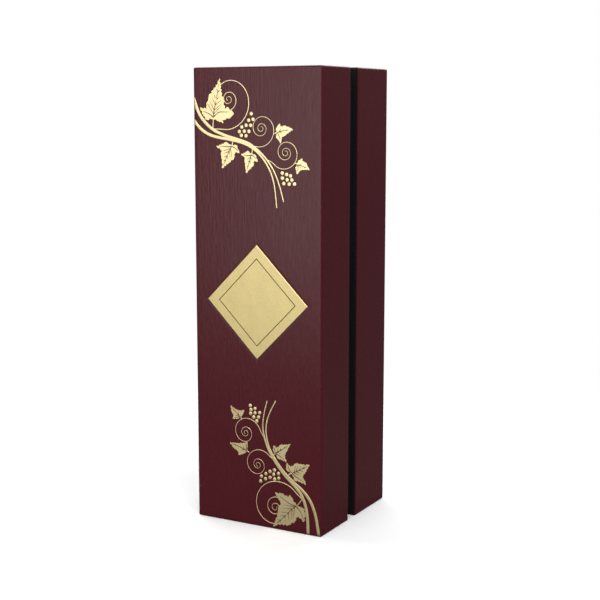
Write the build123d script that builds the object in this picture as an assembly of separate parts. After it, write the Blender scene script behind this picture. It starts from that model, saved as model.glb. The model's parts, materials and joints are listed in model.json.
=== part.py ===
from build123d import *
import os

os.makedirs("parts", exist_ok=True)

# An upright gift box for one bottle, closed, standing on its bottom end.
# X runs across the front, Y from front to back and Z upwards.
# The origin is the middle of the bottom, and lengths are millimetres.
# The box is laid out from the bottle outwards: bed, tray, neck, lining, board, covering.

# The bottle that the box is made for, standing on its bottom
bottle_radius = 38.0
bottle_height = 300.0
bottle_body = 195.0
bottle_shoulder = 42.0
bottle_neck_radius = 15.5

# The bed around the bottle, and how far the tray and the lid's pad reach beyond it
bed_clearance = 1.5
tray_side = 7.0
tray_end = 15.0
bed_behind = 8.0
pad_play = 1.0
pad_thickness = 12.3

# The moulded tray
skin = 1.2
tray_gap = 0.3
tray_draft = 1.0
tray_corner = 6.0
tray_rim_radius = 2.0
heel_radius = 7.0
crown_radius = 2.5

# The neck that stands in the base and guides the lid
neck_board = 3.0
neck_radius = 0.8
neck_clearance = 0.4
neck_seat = 0.3

# Layers of the outer walls, from inside to outside
lining = 0.4
board = 4.0
cover = 0.8
edge_radius = 1.3
end_bevel = 0.5

# Where the box parts: the lid in front, a black reveal, then the base
lid_depth = 45.0
reveal = 13.0

# The label plate, a square standing on its corner, let into the lid's covering
plate_diagonal = 87.0
plate_thickness = 1.0
plate_inlay = 0.5
plate_gap = 0.1
plate_bevel = 0.3
line_diagonal = 66.3
line_width = 0.7
line_depth = 0.3

# The foam pad glued into the lid
pad_margin = 5.0
pad_corner = 2.5

# How far a cutting shape runs past the face that it cuts
overrun = 1.0

# The lid's boards are thinner by the sliding clearance, so both halves keep one outside size
lid_board = board - neck_clearance
base_wall = cover + board
lid_wall = cover + lid_board
neck_inset = base_wall + lining
tray_inset = neck_inset + neck_board + tray_gap

# Outside of the closed box, without the label plate
bed_radius = bottle_radius + bed_clearance
bed_length = bottle_height + 2 * bed_clearance
width = 2 * (bed_radius + tray_side + tray_inset)
height = bed_length + 2 * (tray_end + tray_inset)
inside_depth = pad_thickness + pad_play + bottle_radius + bed_radius + skin + bed_behind
depth = lid_wall + lining + inside_depth + lining + base_wall

# Planes across the box, from front to back
plate_proud = plate_thickness - plate_inlay
front_y = plate_proud - (depth + plate_proud) / 2
back_y = front_y + depth
lid_rim_y = front_y + lid_depth
base_rim_y = lid_rim_y + reveal
lid_floor_y = front_y + lid_wall + lining
base_floor_y = back_y - base_wall - lining
neck_front_y = lid_floor_y + neck_seat
pad_front_y = lid_floor_y + pad_thickness
axis_y = base_floor_y - bed_behind - skin - bed_radius
tray_front_y = axis_y

# Spans of the box from side to side and from bottom to top, and where the bottle stands
whole_x = (-width / 2, width / 2)
whole_z = (0.0, height)
bed_z = tray_inset + tray_end
throat_radius = bottle_neck_radius + bed_clearance
shoulder_z = bed_z + bottle_body
throat_z = shoulder_z + bottle_shoulder
bed_top_z = bed_z + bed_length

# The planes that shapes are drawn on, named by the way that they face
SIDEWAYS = Plane(origin=(0, 0, 0), x_dir=(0, 1, 0), z_dir=(1, 0, 0))
FORWARD = Plane(origin=(0, 0, 0), x_dir=(1, 0, 0), z_dir=(0, -1, 0))
UPWARD = Plane.XY


def save(shape, node):
    """Write one piece to its own file."""
    export_step(shape, f"parts/{node}.step")


def inset(span, amount):
    """A span drawn in at both ends."""
    return (span[0] + amount, span[1] - amount)


def rectangle(plane, at, u, v):
    """A rectangle parallel to the plane, its spans u and v in the plane's own directions."""
    centre = Pos((u[0] + u[1]) / 2, (v[0] + v[1]) / 2, at)
    return plane * centre * Rectangle(abs(u[1] - u[0]), abs(v[1] - v[0]))


def slab(x, y, z):
    """A block between three pairs of planes."""
    return extrude(rectangle(UPWARD, z[0], x, y), amount=z[1] - z[0])


def mitred(plane, outside_at, inside_at, outside, inside):
    """A flat board with bevelled edges, from its outside face to its inside face."""
    faces = [rectangle(plane, outside_at, *outside), rectangle(plane, inside_at, *inside)]
    return loft(faces, ruled=True)


def boards(half, face_name, thickness, face_y, rim_y):
    """The five boards of one half: its face, two sides and two ends, mitred together."""
    inward = 1 if rim_y > face_y else -1
    outer_y = face_y + inward * cover
    inner_y = outer_y + inward * thickness
    edge_y = rim_y - inward * lining
    outer_x = inset(whole_x, cover)
    outer_z = inset(whole_z, cover)
    inner_x = inset(outer_x, thickness)
    inner_z = inset(outer_z, thickness)
    outer_run = (outer_y, edge_y)
    inner_run = (inner_y, edge_y)
    face = mitred(FORWARD, -outer_y, -inner_y, (outer_x, outer_z), (inner_x, inner_z))
    save(face, f"{half}_{face_name}_panel")
    for side, which in (("left", 0), ("right", 1)):
        places = (outer_x[which], inner_x[which])
        panel = mitred(SIDEWAYS, *places, (outer_run, outer_z), (inner_run, inner_z))
        save(panel, f"{half}_{side}_panel")
    for end, which in (("bottom", 0), ("top", 1)):
        places = (outer_z[which], inner_z[which])
        panel = mitred(UPWARD, *places, (outer_x, outer_run), (inner_x, inner_run))
        save(panel, f"{half}_{end}_panel")


def footprint(face_y, rim_y):
    """The outline of one half seen from above, its two outer corners rounded."""
    outline = rectangle(UPWARD, 0, whole_x, (face_y, rim_y))
    corners = [v for v in outline.vertices() if abs(v.Y - face_y) < abs(v.Y - rim_y)]
    return fillet(corners, edge_radius)


def covering(face_y, rim_y):
    """The textured sheet over the face and both sides, stretched over sharp board edges."""
    inward = 1 if rim_y > face_y else -1
    hollow_y = (face_y + inward * cover, rim_y + inward * cover)
    sheet = footprint(face_y, rim_y) - rectangle(UPWARD, 0, inset(whole_x, cover), hollow_y)
    return extrude(Pos(0, 0, cover) * sheet, amount=height - 2 * cover)


def end_sheet(face_y, rim_y, at_top):
    """The sheet over one end, its three outer edges eased."""
    start = height - cover if at_top else 0.0
    sheet = extrude(Pos(0, 0, start) * footprint(face_y, rim_y), amount=cover)
    outer_face = sheet.faces().sort_by(Axis.Z)[-1 if at_top else 0]
    eased = [e for e in outer_face.edges() if abs(e.center().Y - rim_y) > edge_radius]
    return chamfer(eased, end_bevel)


def lining_tray(wall, face_y, rim_y):
    """The black paper inside one half, turned out over the rim of the boards."""
    inward = 1 if rim_y > face_y else -1
    floor_y = face_y + inward * wall
    outer_x = inset(whole_x, wall)
    outer_z = inset(whole_z, wall)
    lip = slab(inset(whole_x, cover), (rim_y - inward * lining, rim_y), inset(whole_z, cover))
    hollow_y = (floor_y + inward * lining, rim_y + inward * overrun)
    hollow = slab(inset(outer_x, lining), hollow_y, inset(outer_z, lining))
    return slab(outer_x, (floor_y, rim_y), outer_z) + lip - hollow


def neck_panels():
    """The four black neck boards, mitred at their corners, their front edges eased."""
    outer_x = inset(whole_x, neck_inset)
    outer_z = inset(whole_z, neck_inset)
    inner_x = inset(outer_x, neck_board)
    inner_z = inset(outer_z, neck_board)
    run = (neck_front_y, base_floor_y)
    for side, which in (("left", 0), ("right", 1)):
        places = (outer_x[which], inner_x[which])
        panel = mitred(SIDEWAYS, *places, (run, outer_z), (run, inner_z))
        front_edges = panel.edges().filter_by(Axis.Z).group_by(Axis.Y)[0]
        save(fillet(front_edges, neck_radius), f"neck_{side}")
    for end, which in (("bottom", 0), ("top", 1)):
        places = (outer_z[which], inner_z[which])
        panel = mitred(UPWARD, *places, (outer_x, run), (inner_x, run))
        front_edges = panel.edges().filter_by(Axis.X).group_by(Axis.Y)[0]
        save(fillet(front_edges, neck_radius), f"neck_{end}")


def diamond(diagonal, y):
    """A square standing on its corner, parallel to the front and centred on it."""
    side = diagonal / 2 ** 0.5
    return FORWARD * Pos(0, height / 2, -y) * Rot(0, 0, 45) * Rectangle(side, side)


def label_plate():
    """The plate with a bevelled edge and an engraved line that follows its outline."""
    seat_y = front_y + plate_inlay
    face_y = seat_y - plate_thickness
    plate = extrude(diamond(plate_diagonal, seat_y), amount=plate_thickness)
    plate = chamfer(plate.faces().sort_by(Axis.Y)[0].edges(), plate_bevel)
    line = diamond(line_diagonal + line_width, face_y + line_depth)
    line -= diamond(line_diagonal - line_width, face_y + line_depth)
    return plate - extrude(line, amount=line_depth + overrun)


def label_seat():
    """The shallow seat for the plate in the lid's covering."""
    seat = diamond(plate_diagonal + 2 * plate_gap, front_y + plate_inlay)
    return extrude(seat, amount=plate_inlay + overrun)


def bed_profile(grown):
    """Half of the bottle's bed, from its axis outwards, grown all round by a thickness."""
    body = bed_radius + grown
    throat = throat_radius + grown
    heel = heel_radius + grown
    crown = crown_radius + grown
    low = bed_z - grown
    high = bed_top_z + grown
    middle = ((body + throat) / 2, (shoulder_z + throat_z) / 2)
    lines = [
        Line((0, low), (body - heel, low)),
        TangentArc((body - heel, low), (body, low + heel), tangent=(1, 0)),
        Line((body, low + heel), (body, shoulder_z)),
        TangentArc((body, shoulder_z), middle, tangent=(0, 1)),
        TangentArc((throat, throat_z), middle, tangent=(0, -1)),
        Line((throat, throat_z), (throat, high - crown)),
        TangentArc((throat, high - crown), (throat - crown, high), tangent=(0, 1)),
        Line((throat - crown, high), (0, high)),
        Line((0, high), (0, low)),
    ]
    return make_face(Curve() + lines)


def tray_form(grown):
    """The tray's outside form when grown is 0, or the hollow behind its skin when it is the skin."""
    front_at = tray_front_y + grown
    spans = [s[1] - s[0] - 2 * grown for s in (inset(whole_x, tray_inset), inset(whole_z, tray_inset))]
    foot = FORWARD * Pos(0, height / 2, -base_floor_y) * RectangleRounded(*spans, tray_corner)
    block = extrude(foot, amount=base_floor_y - front_at, taper=tray_draft)
    bed = FORWARD * Pos(0, 0, -axis_y) * bed_profile(grown)
    return block - revolve(bed, Axis((0, axis_y, 0), (0, 0, 1)), 360)


def bottle_tray():
    """The moulded tray: its skin thins round the rolled rims, as a drawn sheet does."""
    outside = tray_form(0)
    outside = fillet(outside.faces().sort_by(Axis.Y)[0].edges(), tray_rim_radius)
    return outside - tray_form(skin)


def lid_pad():
    """The foam pad on the inside of the lid, which stops just short of the bottle."""
    margin = neck_inset + neck_board + pad_margin
    pad = slab(inset(whole_x, margin), (lid_floor_y, pad_front_y), inset(whole_z, margin))
    return fillet(pad.edges().filter_by(Axis.Y), pad_corner)


boards("lid", "front", lid_board, front_y, lid_rim_y)
boards("base", "back", board, back_y, base_rim_y)
for half, face_y, rim_y in (("lid", front_y, lid_rim_y), ("base", back_y, base_rim_y)):
    for end, at_top in (("bottom", False), ("top", True)):
        save(end_sheet(face_y, rim_y, at_top), f"{half}_{end}_sheet")
save(covering(front_y, lid_rim_y) - label_seat(), "lid_cover")
save(covering(back_y, base_rim_y), "base_cover")
save(lining_tray(lid_wall, front_y, lid_rim_y), "lid_lining")
save(lining_tray(base_wall, back_y, base_rim_y), "base_lining")
neck_panels()
save(label_plate(), "label_plate")
save(lid_pad(), "lid_pad")
save(bottle_tray(), "bottle_tray")
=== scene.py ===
"""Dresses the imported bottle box: coverings, gold, black paper, pad and tray, in a plain studio."""

import json
import logging
import math
from dataclasses import dataclass, field, replace
from enum import Enum

import bmesh
import bpy
import numpy as np
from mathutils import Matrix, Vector
from mathutils.geometry import delaunay_2d_cdt


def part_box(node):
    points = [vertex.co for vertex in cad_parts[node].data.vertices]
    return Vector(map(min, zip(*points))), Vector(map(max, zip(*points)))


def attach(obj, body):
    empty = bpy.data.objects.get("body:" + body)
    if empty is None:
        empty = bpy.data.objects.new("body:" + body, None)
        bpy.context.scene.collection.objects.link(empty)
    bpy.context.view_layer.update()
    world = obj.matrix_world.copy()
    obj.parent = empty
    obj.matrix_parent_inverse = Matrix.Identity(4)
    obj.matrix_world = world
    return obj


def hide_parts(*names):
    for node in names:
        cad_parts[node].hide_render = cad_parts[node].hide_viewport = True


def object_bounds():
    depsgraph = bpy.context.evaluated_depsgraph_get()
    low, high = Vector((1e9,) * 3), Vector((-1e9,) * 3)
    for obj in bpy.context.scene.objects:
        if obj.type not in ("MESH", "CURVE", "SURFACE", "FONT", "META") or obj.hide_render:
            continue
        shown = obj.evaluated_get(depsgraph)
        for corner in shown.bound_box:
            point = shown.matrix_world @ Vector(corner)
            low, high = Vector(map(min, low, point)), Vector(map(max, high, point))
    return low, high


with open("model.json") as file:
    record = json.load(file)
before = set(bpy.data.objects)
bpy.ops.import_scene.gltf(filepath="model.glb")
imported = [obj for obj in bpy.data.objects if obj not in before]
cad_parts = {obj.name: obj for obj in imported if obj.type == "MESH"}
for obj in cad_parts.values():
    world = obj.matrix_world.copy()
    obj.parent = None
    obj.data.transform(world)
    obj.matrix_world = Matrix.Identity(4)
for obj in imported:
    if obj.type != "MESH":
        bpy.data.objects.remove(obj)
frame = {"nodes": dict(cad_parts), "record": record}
CAD_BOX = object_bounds()

MM = 0.001
WELD = 0.001 * MM
WHITE = (1.0, 1.0, 1.0, 1.0)
log = logging.getLogger("bottle_box")

Triple = tuple[float, float, float]
Point = tuple[float, float]
Path = tuple[Point, ...]


class Body(Enum):
    """The two bodies that come apart."""

    LID = "lid"
    BASE = "base"


class Slot(Enum):
    """The record's material slots."""

    COVERING = "covering"
    GREYBOARD = "greyboard"
    LINING = "lining_paper"
    NECK = "neck_black"
    PLATE = "gold_plate"
    FOIL = "gold_foil"
    PAD = "pad_foam"
    TRAY = "flocked_tray"


class Wire:
    """A value on its way through a shader, which adds its own Math nodes."""

    def __init__(self, shader: "Shader", socket: bpy.types.NodeSocket) -> None:
        """Keeps the shader and the output socket that the value comes from."""
        self.shader = shader
        self.socket = socket

    def __add__(self, other: "Wire | float") -> "Wire":
        """This value plus another."""
        return self.shader.maths("ADD", self, other)

    __radd__ = __add__

    def __sub__(self, other: "Wire | float") -> "Wire":
        """This value less another."""
        return self.shader.maths("SUBTRACT", self, other)

    def __rsub__(self, other: float) -> "Wire":
        """Another value less this one."""
        return self.shader.maths("SUBTRACT", other, self)

    def __mul__(self, other: "Wire | float") -> "Wire":
        """This value times another."""
        return self.shader.maths("MULTIPLY", self, other)

    __rmul__ = __mul__

    def __abs__(self) -> "Wire":
        """This value without its sign."""
        return self.shader.maths("ABSOLUTE", self)

    def step(self, low: float, high: float) -> "Wire":
        """A smooth step of this value, from 0 at low to 1 at high."""
        sockets = {"Value": self, "From Min": low, "From Max": high}
        return self.shader.wire("ShaderNodeMapRange", {"interpolation_type": "SMOOTHSTEP"}, sockets)

    def full(self) -> "Wire":
        """Soft noise, which keeps near 0.5, drawn out to fill 0 to 1."""
        return self.step(0.3, 0.7)


class Shader:
    """One node tree, with a short method for each thing that the finishes ask of it."""

    def __init__(self, tree: bpy.types.NodeTree) -> None:
        """Empties the tree."""
        self.tree = tree
        tree.nodes.clear()

    def node(self, kind: str, settings: dict | None = None, sockets: dict | None = None) -> bpy.types.Node:
        """Adds one node.

        Args:
            kind: The node's type.
            settings: Its own properties, set first.
            sockets: Values or wires for its inputs, by name or number.

        Returns:
            The node.
        """
        made = self.tree.nodes.new(kind)
        for name, value in (settings or {}).items():
            setattr(made, name, value)
        for name, value in (sockets or {}).items():
            if isinstance(value, Wire):
                self.tree.links.new(value.socket, made.inputs[name])
            else:
                made.inputs[name].default_value = value
        return made

    def wire(
        self, kind: str, settings: dict | None = None, sockets: dict | None = None, out: int | str = 0
    ) -> Wire:
        """Adds one node and takes one of its outputs, by name or number."""
        return Wire(self, self.node(kind, settings, sockets).outputs[out])

    def maths(self, operation: str, *values: Wire | float) -> Wire:
        """The result of one Math node on one or two values."""
        return self.wire("ShaderNodeMath", {"operation": operation}, dict(enumerate(values)))

    def place(self) -> Wire:
        """Where a point of the object lies, in metres."""
        return self.wire("ShaderNodeTexCoord", out="Object")

    def unfolded(self, name: str) -> Wire:
        """Where a point lies on the piece's own flat sheet, in metres."""
        return self.wire("ShaderNodeUVMap", {"uv_map": name}, out="UV")

    def along(self, place: Wire) -> tuple[Wire, Wire, Wire]:
        """The three parts of a place."""
        made = self.node("ShaderNodeSeparateXYZ", None, {0: place})
        return tuple(Wire(self, socket) for socket in made.outputs)

    def noise(self, place: Wire, per_metre: Triple, detail: float = 2.0, roughness: float = 0.5) -> Wire:
        """Soft noise from 0 to 1 about 0.5.

        Args:
            place: Where the point is.
            per_metre: Waves in a metre along each axis.
            detail: Octaves added above the first.
            roughness: How strong those are.

        Returns:
            The noise.
        """
        drawn = self.wire("ShaderNodeVectorMath", {"operation": "MULTIPLY"}, {0: place, 1: per_metre})
        sockets = {"Vector": drawn, "Scale": 1.0, "Detail": detail, "Roughness": roughness}
        return self.wire("ShaderNodeTexNoise", None, sockets)

    def blend(self, share: Wire, first: Wire | Triple, second: Wire | Triple) -> Wire:
        """A colour between two, by the share of the second."""
        ends = [c if isinstance(c, Wire) else (*c, 1.0) for c in (first, second)]
        return self.wire("ShaderNodeMix", {"data_type": "RGBA"}, {0: share, 6: ends[0], 7: ends[1]}, 2)

    def bump(self, height: Wire, depth: float) -> Wire:
        """A normal from a height of 0 to 1 that stands for the given depth in metres."""
        return self.wire("ShaderNodeBump", None, {"Height": height, "Distance": depth, "Strength": 1.0})

    def ray(self, kind: str) -> Wire:
        """1 for a ray of the given kind, and 0 for the others."""
        return self.wire("ShaderNodeLightPath", out=f"Is {kind} Ray")

    def show(self, surface: Wire, output: str = "ShaderNodeOutputMaterial") -> None:
        """Links the finished surface to the tree's output."""
        self.node(output, None, {"Surface": surface})


def shade(colour: Triple, by: float) -> Triple:
    """A colour made lighter or darker by a factor."""
    return tuple(min(1.0, part * by) for part in colour)


@dataclass(frozen=True)
class Finish:
    """A surface finish, for a slot of the record. Each kind says in paint what changes over the surface."""

    slot: Slot
    name: str
    colour: Triple
    roughness: float
    specular: float = 0.5
    metallic: float = 0.0

    def paint(self, shader: Shader) -> dict[str, Wire]:
        """What changes over the surface, by the socket that it feeds: colour, roughness and normal."""
        raise NotImplementedError

    def tinted(self, shader: Shader, mark: Wire, dark: float, light: float) -> Wire:
        """The finish's colour, darker where the mark is 0 and lighter where it is 1."""
        return shader.blend(mark, shade(self.colour, dark), shade(self.colour, light))

    def fixed(self) -> dict[str, float]:
        """Sockets that are the same all over the surface."""
        return {"Specular IOR Level": self.specular, "Metallic": self.metallic}

    def material(self) -> bpy.types.Material:
        """The finish as a material, made once.

        Returns:
            The material.
        """
        made = bpy.data.materials.get(self.name)
        if made is None:
            made = bpy.data.materials.new(self.name)
            made.use_nodes = True
            made.diffuse_color = (*self.colour, 1.0)
            shader = Shader(made.node_tree)
            sockets = self.fixed() | self.paint(shader)
            shader.show(shader.wire("ShaderNodeBsdfPrincipled", None, sockets))
        return made


@dataclass(frozen=True)
class BrushedSheet(Finish):
    """Plastic-coated paper, embossed with fine strokes that run up the box."""

    sheet: str = "Sheet"
    relief: float = 0.09 * MM

    def paint(self, shader: Shader) -> dict[str, Wire]:
        """Broad and fine strokes, dimples, a fine tooth and faint clouds, laid out on the unfolded sheet.

        Args:
            shader: Where the nodes go.

        Returns:
            What changes, by its socket.
        """
        place = shader.unfolded(self.sheet)
        broad = shader.noise(place, (520.0, 42.0, 0.0), 3.0, 0.6).full()
        fine = shader.noise(place, (1050.0, 85.0, 0.0), 2.0, 0.55).full()
        dimples = shader.noise(place, (340.0, 150.0, 0.0), 2.0, 0.6).full()
        tooth = shader.noise(place, (2600.0, 1100.0, 0.0), 1.0)
        clouds = shader.noise(place, (30.0, 16.0, 0.0))
        strokes = broad * 0.55 + fine * 0.45
        mark = strokes * 0.5 + dimples * 0.25 + tooth * 0.1 + clouds * 0.15
        return {
            "Base Color": self.tinted(shader, mark, 0.89, 1.11),
            "Roughness": self.roughness + (0.5 - strokes) * 0.08 + (clouds - 0.5) * 0.08,
            "Normal": shader.bump(strokes * 0.55 + dimples * 0.25 + tooth * 0.2, self.relief),
        }


@dataclass(frozen=True)
class Paper(Finish):
    """Uncoated paper or board with fibres."""

    fibre: float = 0.2
    relief: float = 0.03 * MM

    def paint(self, shader: Shader) -> dict[str, Wire]:
        """Short fibres in the colour and a fine tooth in the relief.

        Args:
            shader: Where the nodes go.

        Returns:
            What changes, by its socket.
        """
        place = shader.place()
        fibres = shader.noise(place, (700.0, 700.0, 260.0), 3.0, 0.6)
        tooth = shader.noise(place, (2400.0, 2400.0, 2400.0), 1.0)
        return {
            "Base Color": self.tinted(shader, fibres.full(), 1.0 - self.fibre, 1.0 + self.fibre),
            "Roughness": self.roughness + (fibres - 0.5) * 0.1,
            "Normal": shader.bump(tooth * 0.6 + fibres * 0.4, self.relief),
        }


@dataclass(frozen=True)
class Foil(Finish):
    """Matt gold foil pressed into the embossed sheet, whose tooth shows through it."""

    relief: float = 0.02 * MM
    grain: float = 1400.0

    def paint(self, shader: Shader) -> dict[str, Wire]:
        """A sandy grain and faint darker rubs.

        Args:
            shader: Where the nodes go.

        Returns:
            What changes, by its socket.
        """
        place = shader.place()
        sand = shader.noise(place, (self.grain, self.grain, self.grain * 0.8), 2.0, 0.6)
        rubs = shader.noise(place, (110.0, 110.0, 90.0))
        mark = sand * 0.75 + rubs * 0.25
        return {
            "Base Color": self.tinted(shader, mark.full(), 0.9, 1.06),
            "Roughness": self.roughness + (sand - 0.5) * 0.12,
            "Normal": shader.bump(sand, self.relief),
        }


@dataclass(frozen=True)
class FrostedPlate(Foil):
    """The label plate's satin gold, with painted shade in its engraved line."""

    centre_z: float = 175.0 * MM
    line_reach: float = 33.15 * MM
    line_width: float = 0.9 * MM
    # Painted shade: the dark colour laid along the engraved line.
    groove_shade: Triple = (0.12, 0.085, 0.03)

    def paint(self, shader: Shader) -> dict[str, Wire]:
        """The foil's tooth, and painted shade where the sum of the two offsets is the line's reach.

        Args:
            shader: Where the nodes go.

        Returns:
            What changes, by its socket.
        """
        painted = super().paint(shader)
        across, _, up = shader.along(shader.place())
        reach = abs(across) + abs(up - self.centre_z)
        off_line = abs(reach - self.line_reach).step(self.line_width * 0.45, self.line_width * 0.6)
        # Painted shade darkens the colour along the engraved line.
        painted["Base Color"] = shader.blend(off_line, self.groove_shade, painted["Base Color"])
        return painted


@dataclass(frozen=True)
class Pile(Finish):
    """Flock or velvet: short upright fibres that catch light at their tips."""

    sheen: float = 0.4
    sheen_roughness: float = 0.45
    grain: float = 1900.0
    relief: float = 0.12 * MM

    def fixed(self) -> dict[str, float]:
        """The sheen of the fibre tips, beside the usual values."""
        return super().fixed() | {"Sheen Weight": self.sheen, "Sheen Roughness": self.sheen_roughness}

    def paint(self, shader: Shader) -> dict[str, Wire]:
        """Fibre tufts, with broad marks where the pile leans.

        Args:
            shader: Where the nodes go.

        Returns:
            What changes, by its socket.
        """
        place = shader.place()
        tufts = shader.noise(place, (self.grain,) * 3, 2.0, 0.6)
        leaning = shader.noise(place, (45.0, 45.0, 30.0))
        mark = tufts * 0.6 + leaning * 0.4
        return {
            "Base Color": self.tinted(shader, mark.full(), 0.7, 1.35),
            "Roughness": self.roughness - tufts * 0.1,
            "Normal": shader.bump(tufts, self.relief),
        }


COVERING = BrushedSheet(Slot.COVERING, "burgundy_sheet", (0.080, 0.0095, 0.0138), 0.29, 0.25)
GREYBOARD = Paper(Slot.GREYBOARD, "greyboard", (0.33, 0.31, 0.28), 0.9, 0.3)
LINING = Paper(Slot.LINING, "black_lining_paper", (0.0065, 0.0055, 0.006), 0.7, 0.25)
NECK = Paper(Slot.NECK, "black_neck_paper", (0.005, 0.0045, 0.005), 0.6, 0.3)
PLATE = FrostedPlate(Slot.PLATE, "frosted_gold", (0.80, 0.655, 0.31), 0.5, metallic=1.0)
FOIL = Foil(Slot.FOIL, "gold_foil", (0.93, 0.78, 0.43), 0.44, metallic=1.0)
PAD = Pile(Slot.PAD, "black_velvet", (0.032, 0.030, 0.031), 0.95, 0.2, sheen=0.35)
TRAY = Pile(Slot.TRAY, "charcoal_flock", (0.050, 0.047, 0.048), 0.95, 0.2)


class Skin:
    """Collects grids and rings of points and welds them into one closed mesh."""

    def __init__(self) -> None:
        """Starts with no points."""
        self.points: list[np.ndarray] = []
        self.faces: list[list[int]] = []
        self.count = 0

    def add(self, points: np.ndarray) -> np.ndarray:
        """Keeps points.

        Args:
            points: Array of any shape by 3.

        Returns:
            The points' numbers, in the same shape.
        """
        numbers = self.count + np.arange(points.size // 3).reshape(points.shape[:-1])
        self.points.append(points.reshape(-1, 3))
        self.count += numbers.size
        return numbers

    def grid(self, points: np.ndarray, closed: bool = False) -> None:
        """Adds the quads between the rows and columns of a grid.

        Args:
            points: Array of rows by columns by 3.
            closed: Whether the last column joins the first.
        """
        numbers = self.add(points)
        if closed:
            numbers = np.concatenate([numbers, numbers[:, :1]], axis=1)
        corners = [numbers[:-1, :-1], numbers[:-1, 1:], numbers[1:, 1:], numbers[1:, :-1]]
        self.faces += np.stack(corners, axis=-1).reshape(-1, 4).tolist()

    def cap(self, ring: np.ndarray) -> None:
        """Adds one face over a ring of points."""
        self.faces.append(self.add(ring).tolist())

    def tube(self, points: np.ndarray) -> None:
        """Adds a grid whose columns close, with a face over each end.

        Args:
            points: Array of rows by columns by 3.
        """
        self.grid(points, closed=True)
        self.cap(points[0])
        self.cap(points[-1])

    def build(self, name: str, sharp: float = 35.0) -> bpy.types.Object:
        """Makes the object, its seams welded and its faces outwards.

        Args:
            name: The piece's name.
            sharp: The angle in degrees past which an edge is shaded sharp.

        Returns:
            The object, at the origin.
        """
        mesh = bpy.data.meshes.new(name)
        mesh.from_pydata(np.concatenate(self.points), [], self.faces)
        shape = bmesh.new()
        shape.from_mesh(mesh)
        bmesh.ops.remove_doubles(shape, verts=shape.verts, dist=WELD)
        bmesh.ops.dissolve_degenerate(shape, edges=shape.edges, dist=WELD)
        bmesh.ops.recalc_face_normals(shape, faces=shape.faces)
        shape.to_mesh(mesh)
        shape.free()
        mesh.shade_smooth()
        mesh.set_sharp_from_angle(angle=math.radians(sharp))
        piece = bpy.data.objects.new(name, mesh)
        bpy.context.scene.collection.objects.link(piece)
        return piece


def settle(piece: bpy.types.Object, body: Body, finish: Finish) -> None:
    """Makes a new piece part of the box.

    Args:
        piece: The new piece.
        body: The body that carries it.
        finish: What it is finished with.
    """
    piece.data.materials.append(finish.material())
    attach(piece, body.value)
    log.info("%s: %d faces on %s", piece.name, len(piece.data.polygons), body.value)


def values_of(rows: bpy.types.bpy_prop_collection, name: str, width: int, kind: type) -> np.ndarray:
    """Reads one value of every vertex, corner or face of a mesh.

    Args:
        rows: The mesh's vertices, corners or faces.
        name: The value's name.
        width: How many numbers it has.
        kind: Their type.

    Returns:
        Array of rows by width.
    """
    values = np.empty(len(rows) * width, kind)
    rows.foreach_get(name, values)
    return values.reshape(-1, width)


def smooth_step(values: np.ndarray, low: float, high: float) -> np.ndarray:
    """3 t squared less 2 t cubed, where t goes from 0 at low to 1 at high."""
    t = np.clip((values - low) / (high - low), 0.0, 1.0)
    return t * t * (3.0 - 2.0 * t)


def smooth_path(points: Path | np.ndarray, per_span: int = 10) -> np.ndarray:
    """A smooth curve through points.

    On each span it is the cubic whose slope at a point is half the chord between the neighbours.

    Args:
        points: The points, in millimetres.
        per_span: How many points are worked out on each span.

    Returns:
        Array of points by 2.
    """
    held = np.array(points, float)
    before = np.vstack([2 * held[0] - held[1], held[:-1]])
    after = np.vstack([held[1:], 2 * held[-1] - held[-2]])
    slope = (after - before) / 2
    t = np.linspace(0.0, 1.0, per_span, endpoint=False)[:, None]
    start, leave = 2 * t**3 - 3 * t**2 + 1, t**3 - 2 * t**2 + t
    end, arrive = 3 * t**2 - 2 * t**3, t**3 - t**2
    spans = start * held[:-1, None] + leave * slope[:-1, None]
    spans = spans + end * held[1:, None] + arrive * slope[1:, None]
    return np.vstack([spans.reshape(-1, 2), held[-1:]])


def square_to(path: np.ndarray) -> np.ndarray:
    """Unit steps square to a path.

    Args:
        path: Array of points by 2.

    Returns:
        The slope at each point, made one long and turned a quarter to the left.
    """
    along = np.gradient(path, axis=0)
    along /= np.linalg.norm(along, axis=1, keepdims=True)
    return np.stack([-along[:, 1], along[:, 0]], axis=1)


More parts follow.
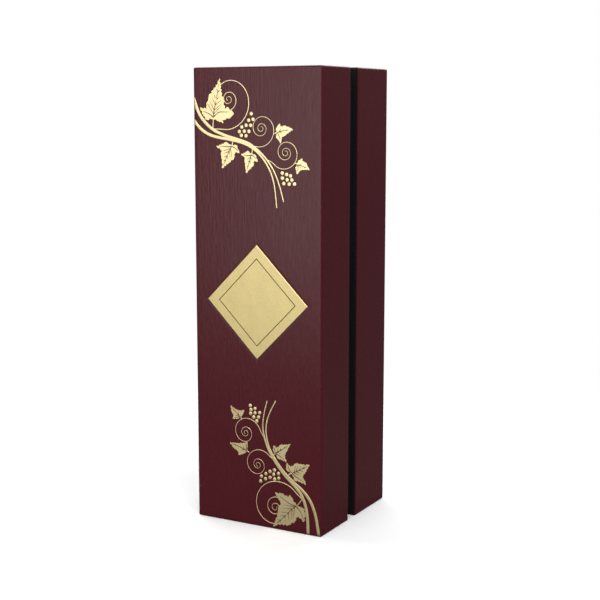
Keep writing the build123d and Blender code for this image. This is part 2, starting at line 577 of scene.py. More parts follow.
@dataclass
class CoveringShell:
    """The sheet over one half of the box, stretched over its boards and rolled in at the rim.

    It is a square box whose edges and corners are rounded, open at the rim. Points are laid on the
    square box and then bent onto the rounded one.
    """

    name: str
    body: Body
    nodes: tuple[str, ...]
    plate_diagonal: float = 0.0
    edge_radius: float = 1.3 * MM
    thickness: float = 0.8 * MM
    rim_roll: float = 0.35 * MM
    spacing: float = 3.0 * MM
    fine_spacing: float = 0.75 * MM
    flap: float = 15.0 * MM
    flap_step: float = 0.07 * MM
    flap_ramp: float = 0.3 * MM
    seat_dip: float = 0.18 * MM
    seat_reach: float = 0.7 * MM
    arc_steps: int = 5
    ramp_lines: int = 5
    inner_rows: int = 8
    low: np.ndarray = field(init=False)
    high: np.ndarray = field(init=False)

    def __post_init__(self) -> None:
        """Takes the outside from the CAD nodes that the sheet stands for."""
        boxes = [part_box(node) for node in self.nodes]
        self.low = np.min([np.array(b[0]) for b in boxes], axis=0)
        self.high = np.max([np.array(b[1]) for b in boxes], axis=0)

    @property
    def inward(self) -> float:
        """The sign of Y from the face to the rim. The lid's face looks forwards, along -Y."""
        return 1.0 if self.body is Body.LID else -1.0

    @property
    def face_y(self) -> float:
        """Where the face lies."""
        return float(self.low[1] if self.body is Body.LID else self.high[1])

    @property
    def middle_z(self) -> float:
        """Half way up."""
        return float(self.low[2] + self.high[2]) / 2

    @property
    def depth(self) -> float:
        """From the face to the rim."""
        return float(self.high[1] - self.low[1])

    @property
    def round_edge(self) -> np.ndarray:
        """The radius times the tangents of even angles, which come out evenly round an edge's arc."""
        return self.edge_radius * np.tan(np.linspace(0.0, math.pi / 4, self.arc_steps + 1))

    @property
    def across_ramp(self) -> np.ndarray:
        """Distances from the edge of the lines where a flap's end slopes away."""
        return self.flap + self.flap_ramp * np.linspace(-1.0, 1.0, self.ramp_lines)

    def bend(self, points: np.ndarray, inset: np.ndarray | float = 0.0) -> np.ndarray:
        """Bends points of the square box onto the rounded one.

        A point goes to the nearest point of the core, which is the box less the edge radius, and from
        there back towards where it was, as far as the radius less the inset.

        Args:
            points: Points on the square box, any shape by 3.
            inset: How far inside the surface they end, less than the edge radius.

        Returns:
            The bent points.
        """
        core_low = self.low + self.edge_radius
        core_high = self.high - self.edge_radius
        if self.body is Body.LID:
            core_high[1] = self.high[1]
        else:
            core_low[1] = self.low[1]
        core = np.clip(points, core_low, core_high)
        outwards = points - core
        outwards /= np.linalg.norm(outwards, axis=-1, keepdims=True)
        return core + outwards * (self.edge_radius - np.asarray(inset)[..., None])

    def lines(self, axis: int, centre: float, reach: float) -> np.ndarray:
        """Places of the grid's lines along X or Z, with more round the edges.

        Args:
            axis: 0 for X, 2 for Z.
            centre: The middle of the stretch where they are closer together.
            reach: How far that stretch goes to either side.

        Returns:
            The places, in order.
        """
        start, stop = self.low[axis] + self.edge_radius, self.high[axis] - self.edge_radius
        plain = np.linspace(start, stop, round((stop - start) / self.spacing) + 1)
        plain = plain[(abs(plain - centre) > reach) | (reach == 0.0)]
        fine = centre + np.linspace(-reach, reach, round(2 * reach / self.fine_spacing) + 1)
        ramps = [self.low[axis] + self.across_ramp, self.high[axis] - self.across_ramp] if axis == 0 else []
        every = np.concatenate([start - self.round_edge, stop + self.round_edge, plain, fine, *ramps])
        return np.unique(np.round(every / WELD)) * WELD

    def rows(self) -> tuple[np.ndarray, np.ndarray]:
        """Rows of the walls, from the face to the rim, round its quarter circle and back inside.

        Returns:
            How deep each row lies, and how far it is set in.
        """
        stop = self.depth - self.rim_roll
        plain = np.linspace(self.edge_radius, stop, round(self.depth / self.spacing))[1:]
        outer = np.unique(np.concatenate([self.edge_radius - self.round_edge, plain, self.across_ramp]))
        angle = np.linspace(0.0, math.pi / 2, self.arc_steps + 1)[1:]
        roll = stop + self.rim_roll * np.sin(angle)
        rolled = self.rim_roll * (1.0 - np.cos(angle))
        inner = np.linspace(self.depth, self.thickness, self.inner_rows)
        depths = np.concatenate([outer, roll, inner])
        insets = np.concatenate([np.zeros(len(outer)), rolled, np.full(len(inner), self.thickness)])
        return depths, insets

    def press_seat(self, points: np.ndarray) -> np.ndarray:
        """Presses the sheet in along the plate's outline.

        The outline is where the offsets from the plate's centre add up to half its diagonal, and the
        dip falls off as a bell curve to either side of it.

        Args:
            points: Points on the face, any shape by 3.

        Returns:
            The pressed points.
        """
        if not self.plate_diagonal:
            return points
        offset = np.abs(points[..., 0]) + np.abs(points[..., 2] - self.middle_z) - self.plate_diagonal / 2
        away = offset / math.sqrt(2.0) / self.seat_reach
        pressed = points.copy()
        pressed[..., 1] += self.inward * self.seat_dip * np.exp(-(away**2))
        return pressed

    def sink_ends(self, points: np.ndarray, square: np.ndarray) -> np.ndarray:
        """Lets both ends sink inside the turned-over flaps, which end evenly in from the edge.

        Args:
            points: The bent points.
            square: The same points on the square box.

        Returns:
            The points, those of the ends sunk by the flap's step.
        """
        from_side = np.minimum(square[..., 0] - self.low[0], self.high[0] - square[..., 0])
        inside = np.minimum(from_side, np.abs(square[..., 1] - self.face_y))
        sunk = self.flap_step * smooth_step(inside, self.flap - self.flap_ramp, self.flap + self.flap_ramp)
        on_end = np.isclose(square[..., 2], self.low[2]) | np.isclose(square[..., 2], self.high[2])
        moved = points.copy()
        moved[..., 2] -= np.where(on_end, sunk, 0.0) * np.sign(square[..., 2] - self.middle_z)
        return moved

    def unfold(self, mesh: bpy.types.Mesh) -> None:
        """Gives each face its place on the flat sheet: across and up, or across and along on an end.

        Args:
            mesh: The shell's mesh.
        """
        corners = values_of(mesh.loops, "vertex_index", 1, int)[:, 0]
        place = values_of(mesh.vertices, "co", 3, float)[corners]
        sides = values_of(mesh.polygons, "loop_total", 1, int)[:, 0]
        facing = np.repeat(values_of(mesh.polygons, "normal", 3, float), sides, axis=0)
        strongest = np.abs(facing).argmax(axis=1)
        on_side = np.sign(facing[:, 0]) * (self.high[0] + np.abs(place[:, 1] - self.face_y))
        across = np.where(strongest == 0, on_side, place[:, 0])
        up = np.where(strongest == 2, place[:, 1], place[:, 2])
        sheet = mesh.uv_layers.new(name=COVERING.sheet)
        sheet.data.foreach_set("uv", np.stack([across, up], axis=1).astype(np.float32).ravel())

    def build(self) -> None:
        """Makes the shell, a face and walls that run round it, and puts it in the place of its nodes."""
        reach = self.plate_diagonal / 2 + 2 * self.seat_reach if self.plate_diagonal else 0.0
        xs = self.lines(0, 0.0, reach)
        zs = self.lines(2, self.middle_z, reach)
        x, z = np.meshgrid(xs, zs)
        skin = Skin()
        skin.grid(self.press_seat(self.bend(np.stack([x, np.full_like(x, self.face_y), z], axis=-1))))
        ring_x = np.concatenate([xs, np.full(len(zs) - 1, xs[-1]), xs[-2::-1], np.full(len(zs) - 2, xs[0])])
        ring_z = np.concatenate([np.full(len(xs), zs[0]), zs[1:], np.full(len(xs) - 1, zs[-1]), zs[-2:0:-1]])
        depths, insets = self.rows()
        walls = np.stack(np.broadcast_arrays(ring_x, self.face_y + self.inward * depths[:, None], ring_z), -1)
        bent = self.bend(walls, np.broadcast_to(insets[:, None], walls.shape[:-1]))
        outside = (insets < self.rim_roll / 2)[:, None, None]
        bent = np.where(outside, self.sink_ends(bent, walls), bent)
        skin.grid(bent, closed=True)
        skin.cap(bent[-1])
        piece = skin.build(self.name)
        self.unfold(piece.data)
        settle(piece, self.body, COVERING)
        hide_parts(*self.nodes)


@dataclass(frozen=True)
class Strand:
    """A stem of the vine, tapering along a smooth path from its root to its tip."""

    path: Path
    root: float
    tip: float = 0.9


@dataclass(frozen=True)
class Tendril:
    """A tendril that leaves its stem at the root and winds in.

    It keeps the same share of its radius in each turn.
    """

    root: Point
    centre: Point
    start: float
    turns: float
    outer: float
    kept: float
    width: float = 0.54

    def path(self, steps_per_turn: int = 16) -> np.ndarray:
        """The root, then points at even angles.

        Their radius is outer times the kept share to the power of the turns gone.

        Args:
            steps_per_turn: How many points of the spiral the smooth curve passes in a turn.

        Returns:
            Array of points by 2.
        """
        gone = np.linspace(0.0, self.turns, round(self.turns * steps_per_turn))
        angle = math.radians(self.start) + 2 * math.pi * gone
        radius = self.outer * self.kept**gone
        spiral = np.array(self.centre) + radius[:, None] * np.stack([np.cos(angle), np.sin(angle)], axis=1)
        return smooth_path(np.vstack([self.root, spiral]), 3)


@dataclass(frozen=True)
class Cut:
    """How leaves of one size are cut.

    Pairs of side veins leave the midrib, reach long at its foot and shorter towards its tip. The
    outline has teeth of one height at one pitch.
    """

    pairs: int
    reach: float
    tooth: float
    pitch: float = 2.4


@dataclass(frozen=True)
class Leaf:
    """A vine leaf: the tips and notches of its outline, its main veins, the midrib first, and its stalk."""

    cut: Cut
    outline: Path
    veins: tuple[Path, ...]
    stalk: Path


@dataclass(frozen=True)
class Vine:
    """One gold grapevine on the lid, in millimetres across and up the front."""

    name: str
    strands: tuple[Strand, ...]
    tendrils: tuple[Tendril, ...]
    leaves: tuple[Leaf, ...]
    grapes: Path


LARGE = Cut(5, 10.5, 1.05, 3.1)
MIDDLE = Cut(4, 7.5, 0.85, 2.7)
PLAIN = Cut(3, 4.0, 0.7)
SMALL = Cut(2, 3.6, 0.6)

UPPER_VINE = Vine(
    "upper_vine",
    strands=(
        Strand(
            (
                (-54.9, 327.5), (-50.8, 317.1), (-45.6, 310.0), (-37.6, 303.7), (-27.4, 299.6),
                (-16.4, 296.8), (-7.3, 294.2), (-0.6, 290.4), (5.7, 285.4), (11.5, 279.0), (15.9, 272.0),
                (19.9, 262.6), (23.1, 251.7),
            ),
            2.4,
        ),
        Strand(
            (
                (-54.9, 310.6), (-48.9, 304.5), (-42.3, 300.5), (-33.8, 298.1), (-23.7, 296.6),
                (-12.7, 294.4), (-5.5, 291.6), (0.4, 287.8), (5.7, 282.8), (10.6, 275.9), (13.7, 269.0),
                (15.8, 260.4), (17.3, 246.9),
            ),
            2.3,
        ),
    ),
    tendrils=(
        Tendril((-38.0, 304.2), (-23.9, 326.2), -111.0, 3.0, 23.6, 0.377, 0.74),
        Tendril((-5.5, 293.2), (4.2, 304.9), -114.0, 2.6, 14.3, 0.4),
        Tendril((9.0, 282.2), (24.9, 287.4), -147.0, 2.75, 13.4, 0.433),
    ),
    leaves=(
        Leaf(
            LARGE,
            outline=(
                (-37.4, 312.0), (-43.4, 311.0), (-46.6, 315.2), (-48.9, 319.8), (-43.2, 319.2),
                (-43.2, 322.4), (-41.4, 325.8), (-41.0, 329.0), (-36.6, 333.6), (-33.2, 337.4),
                (-31.4, 341.4), (-30.6, 336.4), (-30.0, 331.4), (-28.2, 325.8), (-27.0, 318.6),
                (-24.9, 320.4), (-19.1, 315.9), (-22.0, 312.8), (-29.2, 310.8), (-28.4, 308.8),
                (-33.0, 310.2),
            ),
            veins=(
                ((-37.3, 311.5), (-36.6, 317.5), (-34.4, 326.0), (-31.8, 337.6)),
                ((-37.3, 312.8), (-40.8, 315.4), (-46.2, 317.4)),
                ((-37.2, 313.0), (-32.0, 316.6), (-23.6, 316.8)),
            ),
            stalk=((-37.8, 304.4), (-37.6, 308.6), (-37.3, 312.6)),
        ),
        Leaf(
            MIDDLE,
            outline=(
                (-21.2, 292.4), (-17.0, 292.4), (-14.5, 286.7), (-18.3, 287.6), (-19.4, 282.4),
                (-24.2, 279.0), (-29.7, 274.9), (-29.7, 281.6), (-30.7, 285.2), (-29.8, 288.4),
                (-34.8, 291.2), (-30.4, 292.6), (-26.2, 294.6), (-23.4, 293.0),
            ),
            veins=(
                ((-21.2, 291.8), (-24.2, 286.6), (-28.8, 277.0)),
                ((-21.4, 291.2), (-26.0, 291.2), (-32.0, 291.4)),
                ((-21.0, 291.4), (-18.6, 290.4), (-15.8, 288.2)),
            ),
            stalk=((-20.4, 295.8), (-20.5, 294.0), (-21.1, 291.6)),
        ),
        Leaf(
            PLAIN,
            outline=(
                (-4.2, 286.4), (-0.4, 285.2), (1.2, 280.6), (-2.0, 281.4), (-2.4, 277.6), (-5.8, 274.8),
                (-8.7, 271.8), (-9.3, 276.8), (-10.0, 281.4), (-9.6, 283.4), (-13.0, 285.6), (-9.4, 286.9),
                (-7.1, 288.4), (-5.4, 286.7),
            ),
            veins=(
                ((-4.2, 285.6), (-5.6, 281.0), (-8.2, 274.4)),
                ((-4.4, 285.2), (-7.4, 284.8), (-10.6, 285.2)),
                ((-4.2, 285.2), (-2.0, 284.4), (-0.4, 282.8)),
            ),
            stalk=((-3.2, 290.4), (-3.4, 288.4), (-4.1, 285.8)),
        ),
        Leaf(
            SMALL,
            outline=(
                (17.8, 302.2), (17.0, 304.6), (18.4, 306.8), (20.1, 308.5), (20.7, 306.3), (24.4, 307.1),
                (28.2, 305.6), (31.1, 304.3), (27.6, 302.2), (23.9, 299.6), (21.8, 298.9), (21.4, 296.4),
                (20.8, 294.2), (18.8, 297.2), (17.0, 298.5), (17.6, 300.6),
            ),
            veins=(
                ((18.0, 302.1), (22.2, 303.2), (28.4, 304.0)),
                ((18.2, 301.8), (19.6, 299.4), (20.4, 296.6)),
            ),
            stalk=((14.6, 301.2), (16.2, 301.5), (18.2, 302.1)),
        ),
        Leaf(
            SMALL,
            outline=(
                (34.7, 279.4), (35.6, 281.8), (38.8, 283.6), (38.9, 281.5), (41.9, 280.6), (43.2, 277.8),
                (44.9, 275.6), (40.8, 275.7), (37.2, 275.2), (35.8, 273.5), (34.5, 272.1), (34.0, 274.8),
                (33.3, 277.0), (34.4, 278.2),
            ),
            veins=(
                ((34.8, 279.0), (38.4, 278.2), (42.8, 276.6)),
                ((35.0, 278.8), (35.4, 276.4), (34.9, 274.2)),
            ),
            stalk=((32.8, 280.2), (33.8, 279.8), (35.0, 279.2)),
        ),
    ),
    grapes=(
        (-4.2, 315.6), (-2.7, 311.5), (-6.5, 310.8), (-8.7, 307.1), (-4.8, 307.1), (-12.4, 305.8),
        (-14.6, 302.5), (-10.3, 302.7), (-6.3, 302.7), (-12.9, 299.7), (-8.8, 299.4), (22.0, 272.6),
        (25.7, 271.7), (29.0, 270.7), (22.1, 268.9), (26.1, 267.8), (30.1, 267.7), (23.3, 265.0),
        (27.9, 264.7), (32.3, 264.9),
    ),
)

LOWER_VINE = Vine(
    "lower_vine",
    strands=(
        Strand(
            (
                (43.9, 0.1), (43.5, 11.5), (41.9, 21.6), (38.0, 30.5), (31.8, 37.0), (24.8, 42.8),
                (17.9, 50.0), (12.1, 57.8), (8.1, 64.8), (5.4, 73.0), (4.5, 81.3), (6.0, 91.2), (8.5, 100.3),
            ),
            2.5,
        ),
        Strand(
            (
                (53.3, 0.1), (50.3, 16.1), (45.9, 26.6), (39.4, 33.9), (32.8, 38.6), (25.6, 44.0),
                (18.6, 51.2), (12.9, 58.8), (9.2, 66.2), (7.4, 74.6), (8.0, 83.6), (11.0, 91.8),
                (16.0, 101.2),
            ),
            2.4,
        ),
    ),
    tendrils=(
        Tendril((39.4, 27.2), (15.1, 17.3), 31.0, 3.0, 24.0, 0.398, 0.74),
        Tendril((14.6, 54.4), (-0.1, 49.0), 34.0, 2.65, 13.6, 0.385),
        Tendril((6.3, 70.0), (-10.9, 73.0), 10.0, 2.7, 13.9, 0.39),
    ),
    leaves=(
        Leaf(
            LARGE,
            outline=(
                (34.0, 21.6), (29.6, 27.4), (28.0, 29.2), (27.0, 27.2), (21.4, 29.2), (15.2, 29.0),
                (17.4, 26.0), (19.4, 23.2), (20.6, 21.0), (18.0, 17.4), (18.0, 13.4), (15.8, 7.6),
                (13.7, 1.9), (17.6, 4.4), (26.6, 5.0), (32.4, 8.8), (35.0, 13.8), (40.4, 9.9), (41.6, 15.4),
                (40.4, 20.2), (36.8, 21.2),
            ),
            veins=(
                ((35.4, 22.8), (30.6, 18.8), (24.0, 11.8), (15.6, 3.8)),
                ((33.2, 21.2), (27.6, 22.4), (19.4, 27.0)),
                ((33.8, 20.8), (37.2, 17.6), (40.0, 12.0)),
            ),
            stalk=((39.0, 28.2), (36.8, 24.6), (33.8, 21.4)),
        ),
        Leaf(
            replace(MIDDLE, reach=7.0),
            outline=(
                (30.0, 46.2), (25.2, 48.4), (25.1, 51.2), (25.7, 54.0), (28.8, 51.2), (34.0, 54.9),
                (38.8, 54.5), (45.1, 55.1), (41.4, 48.6), (38.9, 44.9), (40.6, 42.8), (42.1, 39.4),
                (37.0, 40.8), (32.3, 41.4),
            ),
            veins=(
                ((29.6, 45.9), (34.6, 48.8), (43.2, 53.8)),
                ((30.0, 46.4), (28.0, 48.6), (26.4, 52.2)),
                ((30.4, 46.0), (34.8, 43.6), (40.4, 41.0)),
            ),
            stalk=((26.4, 44.2), (28.2, 45.6), (30.2, 46.3)),
        ),
        Leaf(
            PLAIN,
            outline=(
                (15.4, 59.8), (13.6, 62.4), (14.2, 66.2), (16.6, 64.3), (20.6, 67.6), (24.8, 67.9),
                (28.6, 69.1), (25.6, 63.4), (23.6, 59.6), (25.2, 54.7), (21.6, 55.8), (18.0, 56.3),
                (16.6, 58.6),
            ),
            veins=(
                ((15.4, 59.8), (19.8, 62.8), (26.4, 67.4)),
                ((15.8, 60.0), (15.0, 62.4), (14.8, 64.6)),
                ((15.8, 59.8), (19.6, 58.4), (23.4, 56.2)),
            ),
            stalk=((12.0, 57.2), (13.6, 58.6), (15.6, 60.0)),
        ),
        Leaf(
            SMALL,
            outline=(
                (-9.7, 58.8), (-9.2, 62.4), (-9.5, 65.9), (-13.2, 64.2), (-18.8, 63.5), (-25.1, 63.3),
                (-22.2, 60.0), (-17.4, 56.9), (-17.0, 54.3), (-13.4, 55.7), (-11.2, 57.0),
            ),
            veins=(
                ((-9.9, 58.6), (-15.2, 60.6), (-22.8, 62.6)),
                ((-10.2, 58.8), (-10.4, 61.4), (-10.2, 64.2)),
            ),
            stalk=((-7.6, 57.6), (-8.6, 58.0), (-10.0, 58.8)),
        ),
        Leaf(
            SMALL,
            outline=(
                (-15.0, 84.8), (-13.2, 87.2), (-12.0, 90.5), (-16.0, 89.6), (-19.8, 90.4), (-24.0, 92.8),
                (-23.3, 88.2), (-21.3, 85.0), (-22.3, 82.6), (-18.2, 83.0), (-16.4, 83.9),
            ),
            veins=(
                ((-15.3, 84.8), (-18.6, 87.2), (-22.6, 91.0)),
                ((-15.6, 84.6), (-18.0, 84.4), (-20.6, 83.4)),
            ),
            stalk=((-14.2, 82.8), (-14.6, 83.6), (-15.4, 85.0)),
        ),
    ),
    grapes=(
        (14.7, 46.6), (10.7, 45.0), (18.1, 44.4), (7.0, 42.7), (13.9, 43.1), (3.0, 40.1), (6.7, 38.7),
        (10.7, 40.3), (18.4, 40.8), (14.7, 39.5), (2.3, 36.2), (-6.5, 94.7), (-6.0, 91.5), (-2.4, 92.8),
        (-6.3, 88.6), (-2.4, 89.4), (1.7, 90.0), (-3.6, 86.0), (0.7, 86.4), (-0.8, 83.3),
    ),
)


@dataclass
class FoilStamp:
    """Presses a vine onto the lid's front as thin raised foil that follows the rounded edges."""

    shell: CoveringShell
    vine: Vine
    stem_rise: float = 0.13 * MM
    tendril_rise: float = 0.10 * MM
    leaf_rise: float = 0.15 * MM
    grape_rise: float = 0.18 * MM
    sunk: float = 0.05 * MM
    tendril_tip: float = 0.5
    stalk_width: float = 0.75
    vein_width: float = 0.75
    side_vein_width: float = 0.54
    side_vein_angle: float = math.radians(42.0)
    side_vein_span: Point = (0.24, 0.86)
    vein_taper: float = 0.85
    tooth_foot: float = 0.45
    tooth_tip: float = 0.55
    tooth_lean: float = 0.75
    grape_radius: float = 1.43
    grape_drop: float = 0.9
    grape_sides: int = 18

    def onto_lid(self, flat: np.ndarray, rise: np.ndarray | float) -> np.ndarray:
        """Lays flat points on the lid's front.

        Args:
            flat: Points in millimetres across and up, any shape by 2.
            rise: Their height above the surface, in metres.

        Returns:
            The points in space, in metres.
        """
        flat = flat * MM
        placed = np.stack([flat[..., 0], np.full(flat.shape[:-1], self.shell.face_y), flat[..., 1]], axis=-1)
        return self.shell.bend(placed, -np.broadcast_to(rise, flat.shape[:-1]))

    def ribbon(self, skin: Skin, path: np.ndarray, widths: np.ndarray, rise: float) -> None:
        """Adds a ribbon with a low crown.

        Its section goes from one edge to the other at the shares of half its width in across, at the
        shares of its rise in up, and runs square to the path.

        Args:
            skin: Where it goes.
            path: Points of its middle line, by 2.
            widths: How wide it is at each of them.
            rise: Its height in the middle.
        """
        across = np.array([-1.0, -1.0, -0.85, -0.45, 0.0, 0.45, 0.85, 1.0, 1.0])
        up = np.array([0.0, 0.5, 0.8, 0.97, 1.0, 0.97, 0.8, 0.5, 0.0])
        half = widths[:, None, None] / 2 * across[None, :, None]
        flat = path[:, None, :] + square_to(path)[:, None, :] * half
        height = np.where(up > 0.0, up * rise, -self.sunk)
        skin.tube(self.onto_lid(flat, np.broadcast_to(height, flat.shape[:-1])))

    def stems(self) -> bpy.types.Object:
        """The strands, which taper from their roots to their tips, and the leaves' stalks.

        Returns:
            The piece.
        """
        skin = Skin()
        for strand in self.vine.strands:
            path = smooth_path(strand.path)
            share = smooth_step(np.linspace(0.0, 1.0, len(path)), 0.1, 1.0)
            self.ribbon(skin, path, strand.root + (strand.tip - strand.root) * share, self.stem_rise)
        for leaf in self.vine.leaves:
            path = smooth_path(leaf.stalk, 4)
            self.ribbon(skin, path, np.full(len(path), self.stalk_width), self.tendril_rise)
        return skin.build(f"{self.vine.name}_stems")

    def tendrils(self) -> bpy.types.Object:
        """The spirals, thinner towards their inner ends.

        Returns:
            The piece.
        """
        skin = Skin()
        for tendril in self.vine.tendrils:
            path = tendril.path()
            widths = tendril.width * np.linspace(1.0, self.tendril_tip, len(path))
            self.ribbon(skin, path, widths, self.tendril_rise)
        return skin.build(f"{self.vine.name}_tendrils")

    def grapes(self) -> bpy.types.Object:
        """Low domes.

        At a share s of the radius the height is the rise times the root of 1 less the drop times s to
        the 4th.

        Returns:
            The piece.
        """
        skin = Skin()
        share = np.array([0.0, 0.45, 0.7, 0.88, 1.0, 1.0])[:, None]
        height = self.grape_rise * np.sqrt(1.0 - self.grape_drop * share**4)
        height[-1] = -self.sunk
        angle = np.linspace(0.0, 2 * math.pi, self.grape_sides, endpoint=False)[None, :]
        ring = np.stack([share * np.cos(angle), share * np.sin(angle)], axis=-1) * self.grape_radius
        for centre in self.vine.grapes:
            dome = self.onto_lid(np.array(centre) + ring, np.broadcast_to(height, ring.shape[:-1]))
            skin.grid(dome, closed=True)
            skin.cap(dome[-1])
        return skin.build(f"{self.vine.name}_grapes", sharp=60.0)

    def toothed(self, leaf: Leaf) -> np.ndarray:
        """Cuts each side of a leaf's outline into even teeth that lean forward.

        A tooth has its foot a little inside the side and its tip a little outside it, at the lean's
        share of the way to the next foot. The outline is first turned to run counter-clockwise.

        Args:
            leaf: The leaf.

        Returns:
            The outline, array of points by 2.
        """
        start = np.array(leaf.outline)
        if np.sum(start[:, 0] * np.roll(start[:, 1], -1) - np.roll(start[:, 0], -1) * start[:, 1]) < 0.0:
            start = start[::-1]
        side = np.roll(start, -1, axis=0) - start
        length = np.linalg.norm(side, axis=1)
        outwards = np.stack([side[:, 1], -side[:, 0]], axis=1) / length[:, None]
        teeth = np.maximum(1, np.round(length / leaf.cut.pitch).astype(int))
        sides = np.repeat(np.arange(len(start)), teeth)
        share = (np.arange(teeth.sum()) - np.repeat(np.cumsum(teeth) - teeth, teeth)) / teeth[sides]
        height = np.minimum(leaf.cut.tooth, 0.2 * length[sides])[:, None]
        inset = np.where(share > 0.0, self.tooth_foot, 0.0)[:, None] * height
        foot = start[sides] + side[sides] * share[:, None] - outwards[sides] * inset
        lean = (share + self.tooth_lean / teeth[sides])[:, None]
        tip = start[sides] + side[sides] * lean + outwards[sides] * height * self.tooth_tip
        return np.stack([foot, tip], axis=1).reshape(-1, 2)

    def side_veins(self, leaf: Leaf) -> np.ndarray:
        """Straight veins that leave the midrib in pairs, at one angle to either side of it.

        Args:
            leaf: The leaf.

        Returns:
            Array of veins by 4 points by 2.
        """
        midrib = smooth_path(leaf.veins[0], 12)
        shares = np.linspace(*self.side_vein_span, leaf.cut.pairs)
        at = (shares * (len(midrib) - 2)).astype(int)
        ahead = midrib[at + 1] - midrib[at]
        ahead /= np.linalg.norm(ahead, axis=1, keepdims=True)
        left = np.stack([-ahead[:, 1], ahead[:, 0]], axis=1) * math.sin(self.side_vein_angle)
        ahead *= math.cos(self.side_vein_angle)
        way = np.stack([ahead - left, ahead + left], axis=1)[:, :, None, :]
        length = (leaf.cut.reach * (1.12 - shares))[:, None, None, None]
        veins = midrib[at][:, None, None, :] + way * length * np.linspace(0.0, 1.0, 4)[:, None]
        return veins.reshape(-1, 4, 2)

    def slit(self, path: np.ndarray, width: float) -> np.ndarray:
        """A vein as a slim lens, whose half width is the root of 1 less the taper times the share gone.

        Args:
            path: The vein's middle line, points by 2.
            width: Its width at the root.

        Returns:
            The lens's outline, array of points by 2.
        """
        share = np.linspace(0.0, 1.0, len(path))[:, None]
        half = square_to(path) * width / 2 * np.sqrt(1.0 - self.vein_taper * share)
        return np.vstack([path - half, (path + half)[::-1]])

    def blade(self, skin: Skin, leaf: Leaf) -> None:
        """Adds a flat blade that is cut through along its veins, where the sheet below shows.

        The outline and the slits are triangulated together. Triangles in a slit are dropped, and the
        edges left with one triangle get a wall.

        Args:
            skin: Where it goes.
            leaf: The leaf.
        """
        loops = [self.toothed(leaf)]
        loops += [self.slit(smooth_path(vein, 5), self.vein_width) for vein in leaf.veins]
        loops += [self.slit(vein, self.side_vein_width) for vein in self.side_veins(leaf)]
        ends = np.cumsum([len(loop) for loop in loops])
        rings = [list(range(end - len(loop), end)) for loop, end in zip(loops, ends)]
        flat, _, faces, _, _, owners = delaunay_2d_cdt(np.vstack(loops).tolist(), [], rings, 1, 1e-5)
        corners = np.array([face for face, owner in zip(faces, owners) if list(owner) == [0]])
        flat = np.array(flat)
        top, foot = skin.add(np.stack([self.onto_lid(flat, self.leaf_rise), self.onto_lid(flat, -self.sunk)]))
        skin.faces += top[corners].tolist() + foot[corners[:, ::-1]].tolist()
        edges = np.concatenate([corners, np.roll(corners, -1, axis=1)]).reshape(2, -1).T
        _, first, uses = np.unique(np.sort(edges, axis=1), axis=0, return_index=True, return_counts=True)
        start, stop = edges[first[uses == 1]].T
        skin.faces += np.stack([foot[start], foot[stop], top[stop], top[start]], axis=1).tolist()

    def leaves(self) -> bpy.types.Object:
        """The blades of all the leaves.

        Returns:
            The piece.
        """
        skin = Skin()
        for leaf in self.vine.leaves:
            self.blade(skin, leaf)
        return skin.build(f"{self.vine.name}_leaves")

    def build(self) -> None:
        """Makes the vine's four pieces of foil and settles them on the lid."""
        for piece in (self.stems(), self.tendrils(), self.leaves(), self.grapes()):
            settle(piece, Body.LID, FOIL)


@dataclass
class LidPad:
    """The velvet-covered foam pad inside the lid, which holds the bottle in its bed."""

    node: str = "lid_pad"
    edge: float = 5.5 * MM
    crown: float = 0.10
    dent: float = 0.012
    pinch: float = 0.7 * MM
    clear: float = 0.1 * MM
    rows: int = 130
    columns: int = 48

    def build(self) -> None:
        """Makes the pad and puts it in the place of its node.

        Its height is the thickness times a quarter circle in from each edge, and a low crown over the
        middle, with soft dents as a product of two sines. Its sides draw in between the corners by the
        pinch.
        """
        low, high = (np.array(corner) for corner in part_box(self.node))
        half_x, half_z = high[0] - self.clear, (high[2] - low[2]) / 2 - self.clear
        middle_z = (low[2] + high[2]) / 2
        back_y = low[1] + self.clear
        thickness = high[1] - low[1] - 2 * self.clear
        u, v = np.meshgrid(self.spread(self.columns), self.spread(self.rows))
        in_x = np.clip((1.0 - np.abs(u)) * half_x / self.edge, 0.0, 1.0)
        in_z = np.clip((1.0 - np.abs(v)) * half_z / self.edge, 0.0, 1.0)
        rounding = np.sqrt(1.0 - (1.0 - in_x) ** 2) * np.sqrt(1.0 - (1.0 - in_z) ** 2)
        crown = 1.0 - self.crown + self.crown * (1.0 - u**2) * (1.0 - v**4)
        dents = self.dent * np.sin(u * 7.0 + v * 3.0) * np.sin(v * 23.0 + 1.3)
        height = thickness * rounding * np.minimum(crown + dents, 1.0)
        x = u * (half_x - self.pinch * (1.0 - v**2))
        z = middle_z + v * (half_z - self.pinch * (1.0 - u**2))
        skin = Skin()
        skin.grid(np.stack([x, back_y + height, z], axis=-1))
        back = np.stack([x, np.full_like(x, back_y), z], axis=-1)
        skin.cap(np.concatenate([back[0], back[1:, -1], back[-1, -2::-1], back[-2:0:-1, 0]]))
        piece = skin.build("velvet_pad", sharp=60.0)
        settle(piece, Body.LID, PAD)
        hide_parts(self.node)

    def spread(self, count: int) -> np.ndarray:
        """Places from -1 to 1, closer together towards both ends, as the sine of even angles."""
        return np.sin(np.linspace(-math.pi / 2, math.pi / 2, count))


@dataclass
class CadFinishes:
    """Gives the solids that stay as they are their finishes."""

    finishes: tuple[Finish, ...] = (COVERING, GREYBOARD, LINING, NECK, PLATE, PAD, TRAY)

    def apply(self) -> None:
        """Sets the material of each solid from its slot in the record."""
        by_slot = {finish.slot.value: finish for finish in self.finishes}
        for part in frame["record"]["subparts"]:
            solid = frame["nodes"][part["node"]]
            finish = by_slot[part["material_slot"]]
            if not solid.material_slots:
                solid.data.materials.append(None)
            for held in solid.material_slots:
                held.link = "OBJECT"
                held.material = finish.material()
            log.info("%s: %s", solid.name, finish.name)


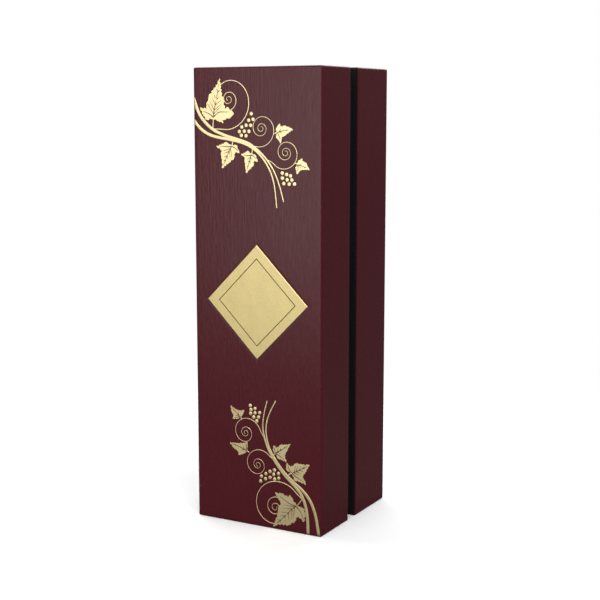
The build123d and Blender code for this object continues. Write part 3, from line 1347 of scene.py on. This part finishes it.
@dataclass
class Softbox:
    """A square lamp on a stand, aimed at the box. Azimuth 0 is in front of it, and 90 on its right."""

    name: str
    azimuth: float
    elevation: float
    distance: float
    size: float
    watts: float

    def build(self, target: Vector) -> None:
        """Places the lamp.

        Args:
            target: What it is aimed at.
        """
        lamp = bpy.data.lights.new(self.name, "AREA")
        lamp.shape = "SQUARE"
        lamp.size = self.size
        lamp.energy = self.watts
        turn, rise = math.radians(self.azimuth), math.radians(self.elevation)
        back = Vector((math.sin(turn) * math.cos(rise), -math.cos(turn) * math.cos(rise), math.sin(rise)))
        stand = bpy.data.objects.new(self.name, lamp)
        stand.location = target + back * self.distance
        stand.rotation_euler = (-back).to_track_quat("-Z", "Y").to_euler()
        bpy.context.scene.collection.objects.link(stand)


@dataclass
class Studio:
    """The camera, the lamps, the pale floor and the light all round."""

    lens: float = 74.2
    stand: Triple = (0.4723, -0.8444, 0.3195)
    pan: float = 28.87
    tilt: float = 8.81
    surround: float = 0.08
    mirrored: float = 0.15
    floor_mirrored: float = 0.06
    floor_size: float = 12.0
    floor_drop: float = 0.05 * MM
    floor_fade: Point = (0.2, 0.6)
    floor_paint: Triple = (0.90, 0.90, 0.90)
    floor_bounce: Triple = (0.045, 0.045, 0.045)
    lamps: tuple[Softbox, ...] = (
        Softbox("front_box", -14.5, 4.0, 1.05, 0.72, 4.6),
        Softbox("fill_box", 37.0, 44.0, 2.7, 3.0, 65.0),
        Softbox("right_box", 78.0, 46.0, 2.5, 2.2, 27.5),
        Softbox("left_box", -105.0, 42.0, 2.5, 2.5, 41.0),
        Softbox("rear_box", -165.0, 44.0, 2.5, 2.5, 43.0),
    )

    def camera(self) -> None:
        """Stands the camera as the photograph's: panned to the left and tilted down, with no shift."""
        lens = bpy.data.cameras.new("camera")
        lens.lens = self.lens
        eye = bpy.data.objects.new("camera", lens)
        eye.location = self.stand
        eye.rotation_euler = (math.radians(90.0 - self.tilt), 0.0, math.radians(self.pan))
        bpy.context.scene.collection.objects.link(eye)
        bpy.context.scene.camera = eye

    def surroundings(self) -> None:
        """A dim even room, darker in reflections than the white that the camera sees."""
        world = bpy.data.worlds.new("room")
        world.use_nodes = True
        bpy.context.scene.world = world
        shader = Shader(world.node_tree)
        seen = (shader.ray("Camera") + shader.ray("Transmission")) * (1.0 - self.surround)
        level = self.surround + seen + shader.ray("Glossy") * (self.mirrored - self.surround)
        sky = shader.wire("ShaderNodeBackground", None, {"Color": WHITE, "Strength": level})
        shader.show(sky, "ShaderNodeOutputWorld")

    def floor(self) -> None:
        """A pale floor that keeps the box's shadow and fades to white away from it.

        It is pale to the camera and through clear things, partly so in reflections, and dark for the
        light that it throws back.
        """
        half, level = self.floor_size / 2, -self.floor_drop
        mesh = bpy.data.meshes.new("floor")
        corners = [(-half, -half, level), (half, -half, level), (half, half, level), (-half, half, level)]
        mesh.from_pydata(corners, [], [(0, 1, 2, 3)])
        made = bpy.data.objects.new("floor", mesh)
        bpy.context.scene.collection.objects.link(made)
        paint = bpy.data.materials.new("pale_floor")
        paint.use_nodes = True
        shader = Shader(paint.node_tree)
        near = shader.wire("ShaderNodeBsdfDiffuse", None, {0: (*self.floor_paint, 1.0)})
        dim = shader.wire("ShaderNodeBsdfDiffuse", None, {0: (*self.floor_bounce, 1.0)})
        far = shader.wire("ShaderNodeEmission", None, {0: WHITE})
        length = shader.wire("ShaderNodeVectorMath", {"operation": "LENGTH"}, {0: shader.place()}, "Value")
        seen = shader.wire("ShaderNodeMixShader", None, {0: length.step(*self.floor_fade), 1: near, 2: far})
        share = shader.ray("Camera") + shader.ray("Transmission") + shader.ray("Glossy") * self.floor_mirrored
        shader.show(shader.wire("ShaderNodeMixShader", None, {0: share, 1: dim, 2: seen}))
        mesh.materials.append(paint)

    def light(self) -> None:
        """Aims every lamp at the middle of the box."""
        low, high = CAD_BOX
        for lamp in self.lamps:
            lamp.build((low + high) / 2)


@dataclass
class BottleBox:
    """The whole box, its sub-assemblies built in order."""

    plate_diagonal: float = 87.0 * MM

    def build(self) -> None:
        """Dresses the lid, then the base."""
        lid_nodes = ("lid_cover", "lid_top_sheet", "lid_bottom_sheet")
        base_nodes = ("base_cover", "base_top_sheet", "base_bottom_sheet")
        lid = CoveringShell("lid_covering", Body.LID, lid_nodes, self.plate_diagonal)
        base = CoveringShell("base_covering", Body.BASE, base_nodes)
        lid.build()
        base.build()
        for vine in (UPPER_VINE, LOWER_VINE):
            FoilStamp(lid, vine).build()
        LidPad().build()
        CadFinishes().apply()


def main() -> None:
    """Sets the studio and builds the box."""
    logging.basicConfig(level=logging.INFO, format="%(name)s: %(message)s")
    bpy.context.scene.view_settings.view_transform = "Standard"
    studio = Studio()
    studio.camera()
    studio.surroundings()
    studio.floor()
    studio.light()
    BottleBox().build()


if __name__ == "__main__":
    main()
